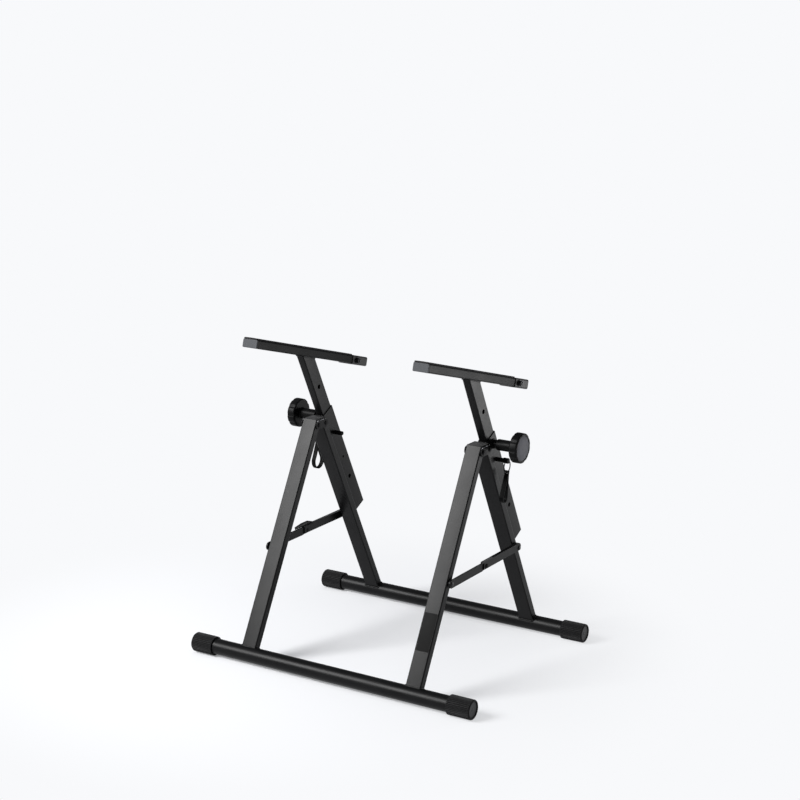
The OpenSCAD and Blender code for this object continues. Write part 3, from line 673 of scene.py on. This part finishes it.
# ---- Clamp ----
# A bright zinc screw runs through the boss and presses on the post. A moulded black plastic knob is fixed
# on its end, with a long neck, a thick lobed head and a plain, slightly sunk face, which is painted grey as
# a painted sheen.
SCREW_IN, SCREW_END, SCREW_RADIUS = 7.8, 46.95, 4
SOCKET_RADIUS, SOCKET_END = 4.1, 47.25
NECK_IN, HEAD_IN, HEAD_OUT = 19.75, 53.75, 69.75
KNOB_RADIUS, KNOB_EDGE, KNOB_POINTS = 27, 3, 240
KNOB_LOBES, FLUTE_RADIUS, FLUTE_DEEP = 10, 8, 1.1
KNOB_NECK = ((0, SOCKET_END), (SOCKET_RADIUS, SOCKET_END), (SOCKET_RADIUS, NECK_IN + 0.4),
    (4.5, NECK_IN), (9.2, NECK_IN), (9.8, NECK_IN + 0.3), (10, NECK_IN + 1), (10, HEAD_IN - 2.4),
    (10.3, HEAD_IN - 1.1), (11.1, HEAD_IN - 0.3), (12.4, HEAD_IN), (20, HEAD_IN))
KNOB_RECESS = ((22.6, HEAD_OUT), (22.2, HEAD_OUT - 0.2), (22, HEAD_OUT - 0.7), (22, HEAD_OUT - 1.6),
    (0, HEAD_OUT - 1.6))
KNOB_FACE = ((0, HEAD_OUT - 1.7), (21.9, HEAD_OUT - 1.7), (21.9, HEAD_OUT - 0.85),
    (21.5, HEAD_OUT - 0.6), (0, HEAD_OUT - 0.45))

bright_zinc = plated("bright_zinc", (0.5, 0.5, 0.52), 0.24)
knob_plastic = moulded(
    "knob_plastic", (0.003, 0.003, 0.0032), 0.42, 1900, 0.00007, dust=0.03, gloss=0.075)
# Painted sheen: the knob's black face is painted mid grey where it shines.
knob_face_painted_sheen = moulded("knob_face_painted_sheen", (0.14, 0.14, 0.152), 0.5, 900, 0.0001, gloss=0.06)


def knob_ring(inset, x, share):
    """A ring of the knob's head; share is how much of the grip flutes shows in it. Each flute is part
    of a circle that cuts a little way into the rim."""
    far = KNOB_RADIUS + FLUTE_RADIUS - FLUTE_DEEP
    ring = []
    for k in range(KNOB_POINTS):
        turn = math.tau * k / KNOB_POINTS
        off = (turn + math.pi / KNOB_LOBES) % (math.tau / KNOB_LOBES) - math.pi / KNOB_LOBES
        across = far * math.sin(off)
        dip = 0.0
        if abs(across) < FLUTE_RADIUS:
            near = far * math.cos(off) - math.sqrt(FLUTE_RADIUS ** 2 - across ** 2)
            dip = max(0.0, KNOB_RADIUS - near)
        r = KNOB_RADIUS - inset - share * dip
        ring.append((x, r * math.cos(turn), r * math.sin(turn)))
    return ring


back, front = [], []
for step in range(7):
    rise, fall = math.sin(math.radians(15 * step)), math.cos(math.radians(15 * step))
    back.append(knob_ring(KNOB_EDGE * (1 - rise), HEAD_IN + KNOB_EDGE * (1 - fall), 0.4 + 0.6 * rise))
    front.append(knob_ring(KNOB_EDGE * (1 - fall), HEAD_OUT - KNOB_EDGE * (1 - rise), 0.4 + 0.6 * fall))
knob = [
    skin([*[ring_around(r, x, KNOB_POINTS) for r, x in KNOB_NECK], *back, *front,
        *[ring_around(r, x, KNOB_POINTS) for r, x in KNOB_RECESS]], looped=True),
    (*turned(KNOB_FACE, 96), 1)]
screw = threaded(SCREW_IN, SCREW_END, SCREW_RADIUS, depth=0.55, pitch=1.25)
for hand, side in HANDS:
    place = Matrix.Translation(on_sleeve(side, CLAMP_UP))
    fit(f"clamp_screw_{hand}", [moved(screw, mirror=side < 0)], place,
        bright_zinc, f"clamp_stud_{hand}", f"clamp_stud_{hand}")
    fit(f"clamp_knob_{hand}_moulded", [moved(s, mirror=side < 0) for s in knob], place,
        [knob_plastic, knob_face_painted_sheen], f"clamp_knob_{hand}", f"clamp_knob_{hand}")

# ---- Safety pins ----
# A blackened steel pin passes right through the sleeve and the post. A split ring, wound twice from
# spring wire, hangs in its head, and a strap folded into a loop hangs from the ring.
PIN_DROP = 36
PIN_UP = CLAMP_UP - PIN_DROP
RING_X, RING_RADIUS, RING_HANG = 29.65, 11, 10.5
RING_START, RING_TURNS, RING_STEPS, RING_SIDES = 100, 2, 144, 12
WIRE_TALL, WIRE_WIDE, WIRE_PITCH = 1.16, 0.48, 0.5

strap_plastic = moulded(
    "strap_plastic", (0.0022, 0.0022, 0.0023), 0.55, 2200, 0.0001, dust=0.02, gloss=0.05)
coil = []
for k in range(RING_STEPS + 1):
    a = math.radians(RING_START) + RING_TURNS * math.tau * k / RING_STEPS
    x = RING_X + WIRE_PITCH * RING_TURNS * (k / RING_STEPS - 0.5)
    # The wire tapers at both of its ends.
    thin = min(1.0, 0.35 + min(k, RING_STEPS - k) / 6)
    ring = []
    for n in range(RING_SIDES):
        edge = math.tau * n / RING_SIDES
        r = RING_RADIUS + WIRE_TALL * thin * math.cos(edge)
        ring.append((x + WIRE_WIDE * math.sin(edge), r * math.cos(a), r * math.sin(a) - RING_HANG))
    coil.append(ring)
split_ring = skin(coil, capped=True)
for hand, side in HANDS:
    place = Matrix.Translation(on_sleeve(side, PIN_UP))
    body = f"safety_pin_{hand}"
    fit(f"safety_pin_{hand}_steel", [cad_form(f"safety_pin_{hand}", place)], place, rivet_coat, body,
        f"safety_pin_{hand}", rounding=0.9)
    fit(f"split_ring_{hand}", [moved(split_ring, mirror=side < 0)], place, rivet_coat, body,
        f"pin_ring_{hand}")
    fit(f"pin_strap_{hand}_loop", [cad_form(f"pin_strap_{hand}", place)], place, strap_plastic, body,
        f"pin_strap_{hand}", rounding=0.4)

# ---- Studio ----
# A plain pale floor runs out to a pale backdrop. One large soft light stands at the front left, a weak
# one low at the right rear, and a broad, faint one overhead.
PALE = (0.939, 0.947, 0.965, 1)
FLOOR_REACH, FLOOR_DROP = 30, 0.0003


def studio_floor():
    """A matt board that the camera and reflections see glowing pale, less so round the stand, so that
    it keeps the stand's shadow there."""
    finish, tree, _, spot = blank_finish("pale_floor")
    off = wire(tree, "ShaderNodeVectorMath", {0: spot.outputs["Object"], 1: (-0.15, -0.05, 0)},
        operation="SUBTRACT")
    far = wire(tree, "ShaderNodeVectorMath", {0: off.outputs[0]}, operation="LENGTH")
    edge = wire(tree, "ShaderNodeMapRange", {"Value": far.outputs["Value"], "From Min": 0.2,
        "From Max": 0.75, "To Min": 0.25}, interpolation_type="SMOOTHSTEP")
    path = wire(tree, "ShaderNodeLightPath", {})
    seen = maths(tree, "MAXIMUM", path.outputs["Is Camera Ray"], path.outputs["Is Glossy Ray"])
    seen = maths(tree, "MAXIMUM", seen, path.outputs["Is Transmission Ray"])
    pale = maths(tree, "MULTIPLY", seen, edge.outputs[0])
    board = wire(tree, "ShaderNodeBsdfDiffuse", {"Color": (0.775, 0.782, 0.80, 1)})
    glow = wire(tree, "ShaderNodeEmission", {"Color": PALE, "Strength": 1.0})
    both = wire(tree, "ShaderNodeMixShader", {0: pale, 1: board.outputs[0], 2: glow.outputs[0]})
    tree.links.new(both.outputs[0], tree.nodes["Material Output"].inputs["Surface"])
    return finish


floor_mesh = bpy.data.meshes.new("floor")
floor_mesh.from_pydata([(x * FLOOR_REACH, y * FLOOR_REACH, 0)
    for x, y in ((-1, -1), (1, -1), (1, 1), (-1, 1))], [], [(0, 1, 2, 3)])
floor_mesh.materials.append(studio_floor())
floor = bpy.data.objects.new("floor", floor_mesh)
bpy.context.scene.collection.objects.link(floor)
floor.location = (0, 0, -FLOOR_DROP)

world = bpy.data.worlds.new("studio")
bpy.context.scene.world = world
world.use_nodes = True
tree = world.node_tree
way = wire(tree, "ShaderNodeTexCoord", {})
height = wire(tree, "ShaderNodeSeparateXYZ", {0: way.outputs["Generated"]})
wall = span(tree, height.outputs["Z"], -0.02, 0.12, 1.0, 0.08)
path = wire(tree, "ShaderNodeLightPath", {})
shiny = maths(tree, "MAXIMUM", path.outputs["Is Glossy Ray"], path.outputs["Is Transmission Ray"])
shiny = maths(tree, "MULTIPLY", shiny, wall)
seen = maths(tree, "MAXIMUM", path.outputs["Is Camera Ray"], shiny)
backdrop = wire(tree, "ShaderNodeBackground", {"Color": PALE, "Strength": 1.0})
dim = tree.nodes["Background"]
dim.inputs["Color"].default_value = (0.93, 0.95, 1.0, 1)
dim.inputs["Strength"].default_value = 0.2
mix = wire(tree, "ShaderNodeMixShader", {0: seen, 1: dim.outputs[0], 2: backdrop.outputs[0]})
tree.links.new(mix.outputs[0], tree.nodes["World Output"].inputs["Surface"])


def soft_light(name, spot, aim, size, watts):
    """A rectangular lamp at spot, turned to face aim."""
    lamp = bpy.data.lights.new(name, "AREA")
    lamp.shape = "RECTANGLE"
    lamp.size, lamp.size_y = size
    lamp.energy = watts
    light = bpy.data.objects.new(name, lamp)
    bpy.context.scene.collection.objects.link(light)
    light.location = spot
    light.rotation_euler = (Vector(aim) - Vector(spot)).to_track_quat("-Z", "Y").to_euler()
    light.visible_camera = False


soft_light("key_light", (-2.0, -2.62, 2.5), (0, 0, 0.3), (1.7, 1.7), 244)
soft_light("side_light", (1.08, 1.16, 0.2), (0.17, 0.0, 0.42), (0.55, 0.34), 4.4)

overhead = bpy.data.lights.new("overhead", "SUN")
overhead.energy = 0.5
overhead.angle = math.radians(70)
overhead_light = bpy.data.objects.new("overhead", overhead)
bpy.context.scene.collection.objects.link(overhead_light)
overhead_light.rotation_euler = (math.radians(12), math.radians(-10), 0)
overhead_light.visible_glossy = False

bpy.context.scene.view_settings.view_transform = "Standard"
